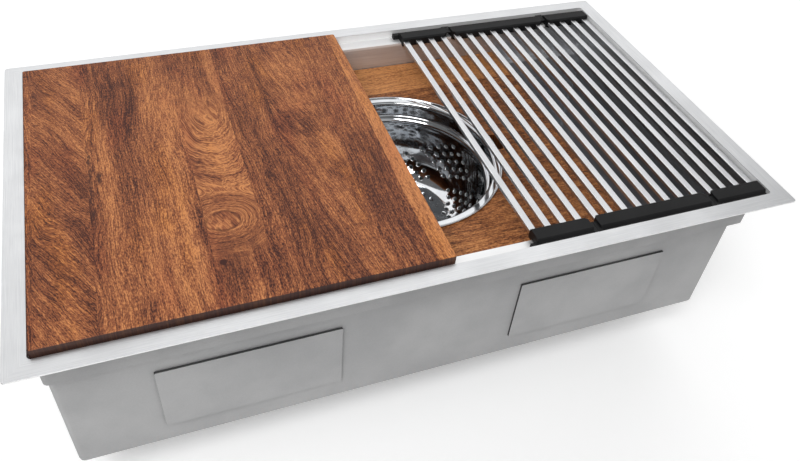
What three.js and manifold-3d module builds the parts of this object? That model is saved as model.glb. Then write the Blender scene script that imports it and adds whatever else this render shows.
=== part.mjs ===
// Kitchen workstation sink, millimetres.
// Origin: centre of the rim on its top face. +X runs along the sink to the right, +Y to the wall, +Z up.
import * as THREE from 'three';
import * as BufferGeometryUtils from 'three/addons/utils/BufferGeometryUtils.js';
import Module from 'manifold-3d';

// clearances between pieces
const seatGap = 0.3;            // piece resting on another
const pocketGap = 0.2;          // rod in its cap pocket, each side
const foldGap = 0.3;            // faces of two folded rack panels

// steel bowl
const sheet = 1.5;
const rimLength = 838.2;
const rimDepth = 482.6;
const flangeEnd = 20.5;
const flangeSide = 19.5;
const rimCorner = 4;
const upperLedgeDrop = 11;
const upperLedgeWidth = 18;
const lowerLedgeDrop = 62;
const lowerLedgeWidth = 14;
const riserCorner = 4;
const wallCorner = 5.5;
const floorRound = 4;
const floorInset = 10.5;        // where the floor starts to fall, from the walls
const floorEdgeDrop = 228.6;
const floorFall = 6;            // from the walls to the drain
const floorDrop = floorEdgeDrop + floorFall;

const halfRimX = rimLength / 2;
const halfRimY = rimDepth / 2;
const bowlX = halfRimX - flangeEnd;
const riserY = halfRimY - flangeSide;
const upperWallY = riserY - upperLedgeWidth;
const lowerWallY = upperWallY - lowerLedgeWidth;

// drain
const drainToRear = 94.8;       // drain's centre to the rear wall
const drainY = lowerWallY - drainToRear;
const drainPad = 65;            // half side of the flat floor round the drain
const drainFlange = 56;
const drainFlangeThick = 2;
const cupInner = 42.4;
const cupWall = 2.2;
const cupOuter = cupInner + cupWall;
const cupSeat = 6;              // shoulder that carries the basket, below the flange
const seatWidth = 1.8;
const cupDepth = 46;
const cupRound = 8;             // height of the cup's rounded lower edge
const cupHoleGap = 0.7;
const drainHole = cupOuter + cupHoleGap;
const outletOuter = 24;
const outletInner = 19;
const outletLength = 24;
const gasketThick = 3;
const washerThick = 1;
const nutThick = 13;
const nutOuter = 58;
const nutLobes = 8;
const nutLobeDepth = 4;

// sink basket in the drain
const basketLip = cupInner - 0.6;
const basketRadius = cupInner - seatWidth - 0.8;
const basketDepth = 24;
const basketSheet = 1.2;
const basketHole = 2.6;
const basketHoleRings = [[15, 8], [26, 14]];
const postRadius = 4;
const postShort = 3.5;          // post's top below the basket's lip
const knobRadius = 9;
const knobHeight = 8;
const stopperRadius = 22;
const stopperThick = 7;

// sound pads
const padThick = 3;
const padCorner = 2;
const frontPad = { length: 197, height: 97, inner: 108, top: 99 };
const endPad = { length: 210, height: 97, top: 98 };
const floorPad = { length: 200, depth: 230, toEnd: 162.6, y: -20 };
const floorPadX = bowlX - floorPad.toEnd;

// cutting board on the upper ledge
const boardThick = 18.2;
const boardLength = 398.2;
const boardEndGap = 1.4;
const boardLeft = -bowlX + boardEndGap;
const boardRight = boardLeft + boardLength;
const boardSide = 2.6;          // gap to the riser, front and back
const boardCorner = 2.5;

// platform and colander on the lower ledge
const platformThick = 16;
const platformLeft = -206;
const platformRight = 250;
const platformSide = 0.9;
const platformCorner = 3;
const colanderX = 22.8;
const colanderWall = 118.2;
const colanderDepth = 102;
const colanderSheet = 1.2;
const colanderSides = 30;       // flats round the colander
// cup below its step: inward from the upper wall, and up from the base
const colanderCup = [[52.2, 0], [38.2, 2.5], [27.2, 9], [19.2, 18], [13.2, 29.5], [9.2, 43], [7.2, 58]];
// step that carries the cup: inward from the upper wall, and down from the rim
const colanderStep = [[6.7, 26], [4.7, 22.5], [1.2, 21], [0, 18]];
const colanderRim = colanderWall + 11.1;
const colanderRimThick = 2.8;
const colanderHole = colanderWall + 1.2;
const notchWidth = 31;
const notchReach = 161;
const notchCorner = 3;
const perforation = 2.9;        // hole radius
const perforationSides = 4;
const baseHoleRings = [[13, 6], [26, 12]];
// two rows of diamonds of holes: from the centre along the wall, and degrees to the row's first
const diamondRows = [{ along: 128, turn: 26 }, { along: 92, turn: -10 }];
const diamondsInRow = 5;
const diamondReach = 4;         // steps from a diamond's centre to its corner
const columnStep = 6;           // degrees
const rowStep = 6;

// drying rack on the upper ledge
const rodCount = [4, 8, 4];
const rodWide = 8;
const rodHigh = 5;
const rodTop = -5;
const rodEdge = 1;
const rodPitch = 19.05;
const foldPitch = 21.6;
const rackEndGap = 1.75;        // right cap to the bowl's end wall
const capTop = -0.2;
const capInner = upperWallY - 7.3;
const capOuter = riserY - 6.8;
const lipOuter = riserY - 0.8;
const lipTop = -4;
const lipEnd = 8;               // lip running past the cap's body at the rack's left end
const capStep = -13;
const stepGap = 1;              // cap's step to the ledge's edge
const capEndMargin = 4.8;
const foldCapGap = 9;
const foldNotch = 6;
const webTop = -3;
const webThick = 1.5;
const rodGrip = 11;             // length of rod inside each cap

const wasm = await Module();
wasm.setup();

const steel = { color: 0xd2d3d4, roughness: 0.32, metalness: 1 };
const polished = { color: 0xe2e3e4, roughness: 0.08, metalness: 1 };
const undercoat = { color: 0x8f8f92, roughness: 0.8, metalness: 0 };
const boardWood = { color: 0x8a4e35, roughness: 0.55, metalness: 0 };
const platformWood = { color: 0x9c5f35, roughness: 0.5, metalness: 0 };
const blackRubber = { color: 0x1b1b1c, roughness: 0.6, metalness: 0 };
const greyFibre = { color: 0xb9b2a4, roughness: 0.9, metalness: 0 };

const group = new THREE.Group();

function addMesh(name, geometry, look) {
  const material = new THREE.MeshStandardMaterial(look);
  const mesh = new THREE.Mesh(geometry, material);
  mesh.name = name;
  group.add(mesh);
  return mesh;
}

// geometry to solid and back, for joins and cuts
function toSolid(geometry) {
  const bare = geometry.clone();
  bare.deleteAttribute('normal');
  bare.deleteAttribute('uv');
  const merged = BufferGeometryUtils.mergeVertices(bare, 1e-4);
  const mesh = new wasm.Mesh({
    numProp: 3,
    vertProperties: new Float32Array(merged.attributes.position.array),
    triVerts: new Uint32Array(merged.index.array),
  });
  return new wasm.Manifold(mesh);
}

function toGeometry(solid) {
  const mesh = solid.getMesh();
  const geometry = new THREE.BufferGeometry();
  geometry.setAttribute('position', new THREE.BufferAttribute(new Float32Array(mesh.vertProperties), 3));
  geometry.setIndex(new THREE.BufferAttribute(new Uint32Array(mesh.triVerts), 1));
  const flat = geometry.toNonIndexed();
  flat.computeVertexNormals();
  return flat;
}

function roundedRectangle(x0, y0, x1, y1, radius) {
  const shape = new THREE.Shape();
  shape.absarc(x1 - radius, y0 + radius, radius, -Math.PI / 2, 0, false);
  shape.absarc(x1 - radius, y1 - radius, radius, 0, Math.PI / 2, false);
  shape.absarc(x0 + radius, y1 - radius, radius, Math.PI / 2, Math.PI, false);
  shape.absarc(x0 + radius, y0 + radius, radius, Math.PI, 1.5 * Math.PI, false);
  shape.closePath();
  return shape;
}

function prism(shape, z0, z1, curveSegments = 4) {
  const settings = { depth: z1 - z0, bevelEnabled: false, curveSegments };
  const geometry = new THREE.ExtrudeGeometry(shape, settings);
  geometry.translate(0, 0, z0);
  return geometry;
}

// block with rounded plan corners and a rounded lower edge
function roundedTub(halfX, halfY, z0, z1, corner, edge) {
  const shape = roundedRectangle(-halfX + edge, -halfY + edge, halfX - edge, halfY - edge, corner - edge);
  const settings = {
    depth: z1 - z0 - 2 * edge,
    bevelEnabled: true,
    bevelThickness: edge,
    bevelSize: edge,
    bevelSegments: 4,
    curveSegments: 4,
  };
  const geometry = new THREE.ExtrudeGeometry(shape, settings);
  geometry.translate(0, 0, z0 + edge);
  return geometry;
}

// box whose lower face is a smaller rectangle
function funnel(top, bottom, zTop, zBottom) {
  const geometry = new THREE.BoxGeometry(1, 1, 1);
  const position = geometry.attributes.position;
  for (let i = 0; i < position.count; i += 1) {
    const upper = position.getZ(i) > 0;
    const face = upper ? top : bottom;
    const x = position.getX(i) > 0 ? face.x1 : face.x0;
    const y = position.getY(i) > 0 ? face.y1 : face.y0;
    position.setXYZ(i, x, y, upper ? zTop : zBottom);
  }
  return geometry;
}

// profile of [radius, height] points turned about the Z axis
function turned(profile, segments) {
  const points = profile.map(([radius, height]) => new THREE.Vector2(radius, height));
  const geometry = new THREE.LatheGeometry(points, segments);
  geometry.rotateX(Math.PI / 2);
  return geometry;
}

function closedTurned(profile, segments) {
  return turned([...profile, profile[0]], segments);
}

// outline in the Y-Z plane run along X
function alongX(outline, x0, x1) {
  const shape = new THREE.Shape(outline.map(([y, z]) => new THREE.Vector2(y, z)));
  const geometry = new THREE.ExtrudeGeometry(shape, { depth: x1 - x0, bevelEnabled: false });
  const toYZ = new THREE.Matrix4().makeBasis(
    new THREE.Vector3(0, 1, 0),
    new THREE.Vector3(0, 0, 1),
    new THREE.Vector3(1, 0, 0),
  );
  geometry.applyMatrix4(toYZ);
  geometry.translate(x0, 0, 0);
  return geometry;
}

function box(x0, x1, y0, y1, z0, z1) {
  const geometry = new THREE.BoxGeometry(x1 - x0, y1 - y0, z1 - z0);
  geometry.translate((x0 + x1) / 2, (y0 + y1) / 2, (z0 + z1) / 2);
  return geometry;
}

// steel bowl: flange, riser, upper ledge, wall, lower ledge, wall and a floor falling to the drain
function bowlGeometry() {
  const padFace = { x0: -drainPad, x1: drainPad, y0: drainY - drainPad, y1: drainY + drainPad };
  const insetX = bowlX - floorInset;
  const insetY = lowerWallY - floorInset;
  const floorFace = { x0: -insetX, x1: insetX, y0: -insetY, y1: insetY };
  const cutOver = 1;
  const level = (halfX, halfY, zBottom, zTop, corner) => {
    return toSolid(prism(roundedRectangle(-halfX, -halfY, halfX, halfY, corner), zBottom, zTop));
  };
  const tub = (skin, zTop) => {
    const corner = wallCorner + skin;
    const edge = floorRound + skin;
    const z0 = -floorEdgeDrop - skin;
    return toSolid(roundedTub(bowlX + skin, lowerWallY + skin, z0, zTop, corner, edge));
  };
  const fall = (skin) => {
    return toSolid(funnel(floorFace, padFace, -floorEdgeDrop - skin, -floorDrop - skin));
  };
  const outer = level(halfRimX, halfRimY, -sheet, 0, rimCorner)
    .add(level(bowlX + sheet, riserY + sheet, -upperLedgeDrop - sheet, -sheet / 2, riserCorner + sheet))
    .add(level(bowlX + sheet, upperWallY + sheet, -lowerLedgeDrop - sheet, -sheet, riserCorner + sheet))
    .add(tub(sheet, -lowerLedgeDrop + 2 * wallCorner))
    .add(fall(sheet));
  const inner = level(bowlX, riserY, -upperLedgeDrop, cutOver, riserCorner)
    .add(level(bowlX, upperWallY, -lowerLedgeDrop, -sheet, riserCorner))
    .add(tub(0, -lowerLedgeDrop + 2 * wallCorner))
    .add(fall(0));
  const hole = new THREE.CylinderGeometry(drainHole, drainHole, 8 * sheet, 48);
  hole.rotateX(Math.PI / 2);
  hole.translate(0, drainY, -floorDrop);
  return toGeometry(outer.subtract(inner).subtract(toSolid(hole)));
}
addMesh('sink_bowl', bowlGeometry(), steel);

// sound pads on the outside of the walls and floor
function padGeometry(length, height) {
  const shape = roundedRectangle(-length / 2, -height / 2, length / 2, height / 2, padCorner);
  return prism(shape, 0, padThick, 3);
}

const padReach = lowerWallY + sheet + seatGap;
for (const side of [-1, 1]) {
  for (const end of [-1, 1]) {
    const wall = side < 0 ? 'front' : 'rear';
    const hand = end < 0 ? 'left' : 'right';
    const geometry = padGeometry(frontPad.length, frontPad.height);
    geometry.rotateX(side < 0 ? Math.PI / 2 : -Math.PI / 2);
    const pad = addMesh(`sound_pad_${wall}_${hand}`, geometry, undercoat);
    const x = end * (frontPad.inner + frontPad.length / 2);
    pad.position.set(x, side * padReach, -frontPad.top - frontPad.height / 2);
  }
}
for (const end of [-1, 1]) {
  const geometry = padGeometry(endPad.height, endPad.length);
  geometry.rotateY(end * Math.PI / 2);
  const pad = addMesh(`sound_pad_end_${end < 0 ? 'left' : 'right'}`, geometry, undercoat);
  pad.position.set(end * (bowlX + sheet + seatGap), 0, -endPad.top - endPad.height / 2);
}
const floorRun = bowlX - floorInset - drainPad;
const floorSlope = Math.atan((floorDrop - floorEdgeDrop) / floorRun);
for (const end of [-1, 1]) {
  const geometry = padGeometry(floorPad.length, floorPad.depth);
  geometry.translate(0, 0, -padThick);
  const pad = addMesh(`sound_pad_floor_${end < 0 ? 'left' : 'right'}`, geometry, undercoat);
  const fallen = (bowlX - floorInset - floorPadX) * Math.tan(floorSlope);
  pad.rotation.y = -end * floorSlope;
  pad.position.set(end * floorPadX, floorPad.y, -floorEdgeDrop - fallen - sheet - seatGap);
}

// drain: flanged cup through the floor, clamped from below by a lobed nut
const floorTop = -floorDrop;
const floorUnder = -floorDrop - sheet;
const cupUnder = floorTop - cupDepth;
const outletEnd = cupUnder - outletLength;
const flangeBottom = floorTop + seatGap;
const flangeTop = flangeBottom + drainFlangeThick;

function atDrain(name, geometry, look) {
  const mesh = addMesh(name, geometry, look);
  mesh.position.y = drainY;
  return mesh;
}

atDrain('drain_body', closedTurned([
  [outletInner, outletEnd],
  [outletOuter, outletEnd],
  [outletOuter, cupUnder - 2],
  [outletOuter + 2, cupUnder],
  [cupOuter - 5, cupUnder + 2],
  [cupOuter, cupUnder + cupRound],
  [cupOuter, flangeBottom],
  [drainFlange, flangeBottom],
  [drainFlange, flangeTop - 1],
  [drainFlange - 1, flangeTop],
  [cupOuter + 1, flangeTop - 0.4],
  [cupInner + 0.6, flangeTop - 2.5],
  [cupInner, flangeTop - 4],
  [cupInner, flangeTop - cupSeat],
  [cupInner - seatWidth, flangeTop - cupSeat],
  [cupInner - seatWidth, cupUnder + cupRound + cupWall],
  [cupInner - 6, cupUnder + 2 + cupWall],
  [outletInner, cupUnder + cupWall],
], 36), polished);

function clampRing(name, top, thick, outer, look) {
  const ring = [
    [drainHole, top - thick],
    [outer, top - thick],
    [outer, top],
    [drainHole, top],
  ];
  return atDrain(name, closedTurned(ring, 36), look);
}
const gasketTop = floorUnder - seatGap;
const washerTop = gasketTop - gasketThick - seatGap;
const nutTop = washerTop - washerThick - seatGap;
clampRing('drain_gasket', gasketTop, gasketThick, drainFlange, blackRubber);
clampRing('drain_washer', washerTop, washerThick, drainFlange, greyFibre);

function lobedNut() {
  const shape = new THREE.Shape();
  const steps = nutLobes * 4;
  for (let i = 0; i < steps; i += 1) {
    const angle = (i / steps) * 2 * Math.PI;
    const radius = i % 4 < 2 ? nutOuter : nutOuter - nutLobeDepth;
    shape[i === 0 ? 'moveTo' : 'lineTo'](radius * Math.cos(angle), radius * Math.sin(angle));
  }
  shape.closePath();
  const bore = new THREE.Path();
  bore.absarc(0, 0, cupOuter + seatGap, 0, 2 * Math.PI, true);
  shape.holes.push(bore);
  return prism(shape, nutTop - nutThick, nutTop, 24);
}
atDrain('drain_lock_nut', lobedNut(), polished);

// lift-out basket: perforated cup hung on the drain's shoulder, post, knob and rubber stopper
const basketTop = flangeTop - cupSeat + seatGap + basketSheet;
const basketUnder = basketTop - basketDepth;
const postTop = basketTop - postShort;
function basketGeometry() {
  const wall = basketSheet;
  const cup = toSolid(turned([
    [0, basketUnder],
    [basketRadius - 10, basketUnder],
    [basketRadius - 6, basketUnder + 3],
    [basketRadius - 1.2, basketTop - 6],
    [basketRadius, basketTop - wall],
    [basketLip, basketTop - wall],
    [basketLip, basketTop],
    [basketRadius - wall, basketTop],
    [basketRadius - 1.2 - wall, basketTop - 6],
    [basketRadius - 6 - wall, basketUnder + 3.6],
    [basketRadius - 10.4, basketUnder + wall],
    [0, basketUnder + wall],
  ], 40));
  const cutters = [];
  for (const [ring, count] of basketHoleRings) {
    for (let i = 0; i < count; i += 1) {
      const cutter = new THREE.CylinderGeometry(basketHole, basketHole, 6, 6);
      const angle = (i / count) * 2 * Math.PI;
      cutter.rotateX(Math.PI / 2);
      cutter.translate(ring * Math.cos(angle), ring * Math.sin(angle), basketUnder);
      cutters.push(cutter);
    }
  }
  const postFoot = basketUnder + wall / 2;
  const post = new THREE.CylinderGeometry(postRadius, postRadius, postTop - postFoot, 20);
  post.rotateX(Math.PI / 2);
  post.translate(0, 0, (postTop + postFoot) / 2);
  const holes = toSolid(BufferGeometryUtils.mergeGeometries(cutters));
  return toGeometry(cup.subtract(holes).add(toSolid(post)));
}
atDrain('basket_cup', basketGeometry(), polished);

atDrain('basket_knob', turned([
  [0, postTop + seatGap],
  [postRadius + 1, postTop + seatGap],
  [knobRadius, postTop + 3],
  [knobRadius, postTop + knobHeight - 2],
  [knobRadius - 1.5, postTop + knobHeight - 0.5],
  [0, postTop + knobHeight],
], 24), polished);

const stopperTop = basketUnder - seatGap;
atDrain('basket_stopper', turned([
  [0, stopperTop - stopperThick],
  [stopperRadius - 6, stopperTop - stopperThick],
  [stopperRadius, stopperTop - 3],
  [stopperRadius, stopperTop],
  [0, stopperTop],
], 32), blackRubber);

// cutting board
const boardY = riserY - boardSide;
const boardUnder = -upperLedgeDrop + seatGap;
const boardShape = roundedRectangle(boardLeft, -boardY, boardRight, boardY, boardCorner);
addMesh('cutting_board', prism(boardShape, boardUnder, boardUnder + boardThick), boardWood);

// platform with the colander's hole and a finger notch in its right side
const platformY = upperWallY - platformSide;
const platformUnder = -lowerLedgeDrop + seatGap;
const platformTop = platformUnder + platformThick;
function platformGeometry() {
  const shape = roundedRectangle(platformLeft, -platformY, platformRight, platformY, platformCorner);
  const slab = toSolid(prism(shape, platformUnder, platformTop));
  const bore = new THREE.CylinderGeometry(colanderHole, colanderHole, platformThick + 4, 72);
  bore.rotateX(Math.PI / 2);
  bore.translate(colanderX, 0, (platformUnder + platformTop) / 2);
  const notchShape = roundedRectangle(colanderX, -notchWidth / 2, notchReach, notchWidth / 2, notchCorner);
  const notch = prism(notchShape, platformUnder - 2, platformTop + 2);
  return toGeometry(slab.subtract(toSolid(bore)).subtract(toSolid(notch)));
}
addMesh('colander_platform', platformGeometry(), platformWood);

// colander: heights are from the underside of its rim
const colanderOuterWall = [
  [0, -colanderDepth],
  ...colanderCup.map(([inward, up]) => [colanderWall - inward, up - colanderDepth]),
  ...colanderStep.map(([inward, down]) => [colanderWall - inward, -down]),
  [colanderWall, 0],
];

// the same wall moved inward by the sheet thickness
function offsetWall(wall, thick) {
  return wall.map(([radius, height], i) => {
    const before = wall[Math.max(i - 1, 0)];
    const after = wall[Math.min(i + 1, wall.length - 1)];
    const along = new THREE.Vector2(after[0] - before[0], after[1] - before[1]).normalize();
    const inRadius = radius === 0 ? 0 : radius - along.y * thick;
    return [inRadius, radius === 0 ? height + thick : height + along.x * thick];
  });
}

// cutter across the wall at a distance along its curve
function perforationCutter(wallCurve, distance, angle) {
  const at = Math.min(Math.max(distance / wallCurve.getLength(), 0), 1);
  const point = wallCurve.getPointAt(at);
  const along = wallCurve.getTangentAt(at);
  const cutter = new THREE.CylinderGeometry(perforation, perforation, 8, perforationSides);
  cutter.rotateZ(Math.atan2(-along.x, along.y) + Math.PI / 2);
  cutter.translate(point.x, point.y, 0);
  cutter.rotateX(Math.PI / 2);
  cutter.rotateZ(angle);
  return cutter;
}

function colanderGeometry() {
  const inner = offsetWall(colanderOuterWall, colanderSheet).reverse();
  const rim = [
    [colanderRim - 0.8, 0],
    [colanderRim, 1],
    [colanderRim, colanderRimThick - 1],
    [colanderRim - 1, colanderRimThick],
    [colanderRim - 3, colanderRimThick],
    [colanderRim - 4, colanderRimThick - 1.2],
    [colanderWall + 2, colanderRimThick - 1.2],
    [colanderWall, colanderRimThick - 0.6],
  ];
  const cup = toSolid(turned([...colanderOuterWall, ...rim, ...inner], colanderSides));
  const curve = new THREE.CurvePath();
  for (let i = 1; i < colanderOuterWall.length; i += 1) {
    const from = new THREE.Vector2(...colanderOuterWall[i - 1]);
    const to = new THREE.Vector2(...colanderOuterWall[i]);
    curve.add(new THREE.LineCurve(from, to));
  }
  const cutters = [];
  for (const { along, turn } of diamondRows) {
    for (let diamond = 0; diamond < diamondsInRow; diamond += 1) {
      const centre = turn + (diamond * 360) / diamondsInRow;
      for (let row = -diamondReach; row <= diamondReach; row += 1) {
        const reach = diamondReach - Math.abs(row);
        for (let column = -reach; column <= reach; column += 2) {
          const angle = THREE.MathUtils.degToRad(centre + column * columnStep);
          cutters.push(perforationCutter(curve, along + row * rowStep, angle));
        }
      }
    }
  }
  for (const [ring, count] of baseHoleRings) {
    for (let i = 0; i < count; i += 1) {
      cutters.push(perforationCutter(curve, ring, (i / count) * 2 * Math.PI));
    }
  }
  return toGeometry(cup.subtract(toSolid(BufferGeometryUtils.mergeGeometries(cutters))));
}
const colander = addMesh('colander', colanderGeometry(), polished);
colander.position.set(colanderX, 0, platformTop + seatGap);

// rack: square tubes gripped by rubber caps, in three panels that fold at thin webs
const rodTotal = rodCount.reduce((sum, count) => sum + count, 0);
const foldCount = rodCount.length - 1;
const lastRod = bowlX - rackEndGap - capEndMargin;
const firstRod = lastRod - (rodTotal - 1 - foldCount) * rodPitch - foldCount * foldPitch;

function rodPlaces() {
  const panels = [];
  let x = firstRod;
  for (const count of rodCount) {
    const panel = [];
    for (let i = 0; i < count; i += 1) {
      panel.push(x + i * rodPitch);
    }
    x = panel[count - 1] + foldPitch;
    panels.push(panel);
  }
  return panels;
}
const panels = rodPlaces();
const panelNames = ['left', 'middle', 'right'];
const rodY = capInner + rodGrip;

function rodGeometry() {
  const shape = roundedRectangle(-rodWide / 2, -rodHigh, rodWide / 2, 0, rodEdge);
  const geometry = prism(shape, -rodY, rodY, 2);
  geometry.rotateX(Math.PI / 2);
  return geometry;
}

let rodNumber = 0;
for (const panel of panels) {
  for (const x of panel) {
    rodNumber += 1;
    const rod = addMesh(`rack_rod_${String(rodNumber).padStart(2, '0')}`, rodGeometry(), steel);
    rod.position.set(x, 0, rodTop);
  }
}

const footZ = -upperLedgeDrop + seatGap;
const ledgeInside = upperWallY - stepGap;
const capBody = [
  [capInner, capStep + 1.2],
  [capInner + 1.2, capStep],
  [ledgeInside - 1, capStep],
  [ledgeInside, capStep + 1],
  [ledgeInside, footZ],
  [capOuter + 1, footZ],
  [capOuter + 1, lipTop + 0.5],
  [capOuter, lipTop + 1.5],
  [capOuter, capTop - 1.5],
  [capOuter - 1.5, capTop],
  [capInner + 1.8, capTop],
  [capInner, capTop - 1.8],
];
const capLip = [
  [capOuter - 1, footZ],
  [lipOuter - 1, footZ],
  [lipOuter, footZ + 1],
  [lipOuter, lipTop - 1.2],
  [lipOuter - 1.2, lipTop],
  [capOuter - 1, lipTop],
];

// side is -1 for the front cap and 1 for the back one
function capGeometry(index, side) {
  const rods = panels[index];
  const foldLeft = index > 0;
  const foldRight = index < panels.length - 1;
  const foldMargin = (foldPitch - foldCapGap) / 2;
  const x0 = rods[0] - (foldLeft ? foldMargin : capEndMargin);
  const x1 = rods[rods.length - 1] + (foldRight ? foldMargin : capEndMargin);
  const lipX0 = foldLeft ? x0 : x0 - lipEnd;
  const turnOver = (outline) => outline.map(([y, z]) => [side * y, z]);
  let cap = toSolid(alongX(turnOver(capBody), x0, x1)).add(toSolid(alongX(turnOver(capLip), lipX0, x1)));
  for (const [folds, edge, towards] of [[foldLeft, x0, -1], [foldRight, x1, 1]]) {
    if (!folds) {
      continue;
    }
    const webEnd = edge + towards * (foldCapGap / 2 - foldGap / 2);
    const webStart = edge - towards;
    const near = side * (ledgeInside + 1);
    const far = side * (lipOuter - 1);
    const web = box(
      Math.min(webStart, webEnd), Math.max(webStart, webEnd),
      Math.min(near, far), Math.max(near, far),
      webTop - webThick, webTop,
    );
    const notch = new THREE.CylinderGeometry(foldNotch, foldNotch, 30, 20);
    notch.rotateX(Math.PI / 2);
    notch.translate(edge + towards * 2, side * (capInner - 1.5), capStep);
    cap = cap.subtract(toSolid(notch)).add(toSolid(web));
  }
  for (const x of rods) {
    const pocketEnd = side * (rodY + seatGap);
    const pocketMouth = side * (capInner - 4);
    const pocket = box(
      x - rodWide / 2 - pocketGap, x + rodWide / 2 + pocketGap,
      Math.min(pocketMouth, pocketEnd), Math.max(pocketMouth, pocketEnd),
      rodTop - rodHigh - pocketGap, rodTop + pocketGap,
    );
    cap = cap.subtract(toSolid(pocket));
  }
  return toGeometry(cap);
}
panelNames.forEach((panelName, index) => {
  for (const side of [-1, 1]) {
    addMesh(`rack_cap_${side < 0 ? 'front' : 'rear'}_${panelName}`, capGeometry(index, side), blackRubber);
  }
});

export default group;
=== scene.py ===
import math
import bpy
import bmesh
from mathutils import Matrix, Vector


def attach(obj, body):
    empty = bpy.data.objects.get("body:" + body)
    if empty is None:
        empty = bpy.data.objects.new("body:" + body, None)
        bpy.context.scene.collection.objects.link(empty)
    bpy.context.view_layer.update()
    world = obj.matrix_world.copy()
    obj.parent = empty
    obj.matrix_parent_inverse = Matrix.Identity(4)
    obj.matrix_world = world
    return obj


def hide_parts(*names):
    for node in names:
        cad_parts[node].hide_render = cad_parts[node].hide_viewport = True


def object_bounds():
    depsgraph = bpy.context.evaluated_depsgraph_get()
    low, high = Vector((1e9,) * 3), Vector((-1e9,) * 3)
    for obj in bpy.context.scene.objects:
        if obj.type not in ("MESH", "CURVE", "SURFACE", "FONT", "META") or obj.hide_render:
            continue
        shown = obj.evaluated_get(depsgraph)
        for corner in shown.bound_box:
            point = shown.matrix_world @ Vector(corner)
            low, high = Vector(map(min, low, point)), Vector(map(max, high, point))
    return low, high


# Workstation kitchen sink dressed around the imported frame.
# Metres, with the origin at the centre of the rim's top, +X to the right and +Y to the rear.
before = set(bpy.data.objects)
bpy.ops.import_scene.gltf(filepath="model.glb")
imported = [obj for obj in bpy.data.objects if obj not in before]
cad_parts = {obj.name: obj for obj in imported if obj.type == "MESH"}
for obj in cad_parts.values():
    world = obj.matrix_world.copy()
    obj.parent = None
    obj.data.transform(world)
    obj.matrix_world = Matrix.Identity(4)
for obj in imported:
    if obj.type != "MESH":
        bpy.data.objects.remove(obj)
bpy.context.view_layer.update()
cadBounds = [list(corner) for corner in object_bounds()]
mm = 0.001
print("frame loaded:", len(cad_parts), "nodes")


def toLinear(red, green, blue):
    values = []
    for value in (red, green, blue):
        share = value / 255
        values.append(share / 12.92 if share < 0.04045 else ((share + 0.055) / 1.055) ** 2.4)
    return (*values, 1)


# shader helpers

def addNode(tree, kind, inputs=None, **settings):
    made = tree.nodes.new("ShaderNode" + kind)
    for name, value in settings.items():
        setattr(made, name, value)
    for name, value in (inputs or {}).items():
        if isinstance(value, bpy.types.NodeSocket):
            tree.links.new(value, made.inputs[name])
        else:
            made.inputs[name].default_value = value
    return made


def calc(tree, operation, *values):
    return addNode(tree, "Math", dict(enumerate(values)), operation=operation).outputs[0]


def axesOf(tree, vector):
    return addNode(tree, "SeparateXYZ", {"Vector": vector}).outputs


def mixColour(tree, factor, first, second, blend="MIX"):
    inputs = {0: factor, 6: first, 7: second}
    return addNode(tree, "Mix", inputs, data_type="RGBA", blend_type=blend).outputs[2]


def dyed(tree, mask, colour, dye):
    return mixColour(tree, mask, colour, mixColour(tree, 1.0, colour, (*dye, 1), "MULTIPLY"))


def remap(tree, value, low, high, toLow=0.0, toHigh=1.0, kind="SMOOTHSTEP"):
    inputs = {"Value": value, "From Min": low, "From Max": high, "To Min": toLow, "To Max": toHigh}
    return addNode(tree, "MapRange", inputs, interpolation_type=kind).outputs[0]


def swing(tree, field, share, middle):
    # moves a value to both sides of its middle with a noise field
    return calc(tree, "MULTIPLY_ADD", calc(tree, "SUBTRACT", field, 0.5), share, middle)


def noise(tree, vector, scale, detail=2.0, roughness=0.5):
    inputs = {"Vector": vector, "Scale": scale, "Detail": detail, "Roughness": roughness}
    return addNode(tree, "TexNoise", inputs).outputs[0]


def stretched(tree, vector, scale, turn=(0, 0, 0)):
    return addNode(tree, "Mapping", {"Vector": vector, "Scale": scale, "Rotation": turn}).outputs[0]


def cellNoise(tree, place, x, y, detail=2.0, roughness=0.5, scale=1.0):
    # x and y are cells in a metre
    return noise(tree, stretched(tree, place["Object"], (x, y, 1)), scale, detail, roughness)


def newGroup(name, inputs, outputs):
    tree = bpy.data.node_groups.new(name, "ShaderNodeTree")
    kinds = {"vector": "NodeSocketVector", "value": "NodeSocketFloat", "colour": "NodeSocketColor"}
    for socketName, kind, value in inputs:
        socket = tree.interface.new_socket(name=socketName, in_out="INPUT", socket_type=kinds[kind])
        if value is not None:
            socket.default_value = value
    for socketName, kind in outputs:
        tree.interface.new_socket(name=socketName, in_out="OUTPUT", socket_type=kinds[kind])
    return tree, tree.nodes.new("NodeGroupInput").outputs, tree.nodes.new("NodeGroupOutput").inputs


def useGroup(tree, group, inputs):
    return addNode(tree, "Group", inputs, node_tree=group).outputs


# smudges: slow changes of gloss on handled metal and rubber
smudgeGroup, given, result = newGroup(
    "smudges",
    [
        ("Vector", "vector", None), ("Scale", "value", 20.0),
        ("Low", "value", 0.2), ("High", "value", 0.35),
    ],
    [("Roughness", "value"), ("Patch", "value")],
)
slow = noise(smudgeGroup, given["Vector"], given["Scale"], detail=4.0, roughness=0.6)
patch = remap(smudgeGroup, slow, 0.3, 0.7)
span = calc(smudgeGroup, "SUBTRACT", given["High"], given["Low"])
smudgeGroup.links.new(calc(smudgeGroup, "MULTIPLY_ADD", patch, span, given["Low"]), result["Roughness"])
smudgeGroup.links.new(patch, result["Patch"])

# brushed: fine parallel lines, the vector already stretched along them
brushedGroup, given, result = newGroup(
    "brushed",
    [("Vector", "vector", None), ("Density", "value", 400.0)],
    [("Lines", "value")],
)
coarseLines = noise(brushedGroup, given["Vector"], given["Density"], detail=3.0, roughness=0.7)
brushedGroup.links.new(remap(brushedGroup, coarseLines, 0.25, 0.75), result["Lines"])

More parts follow.
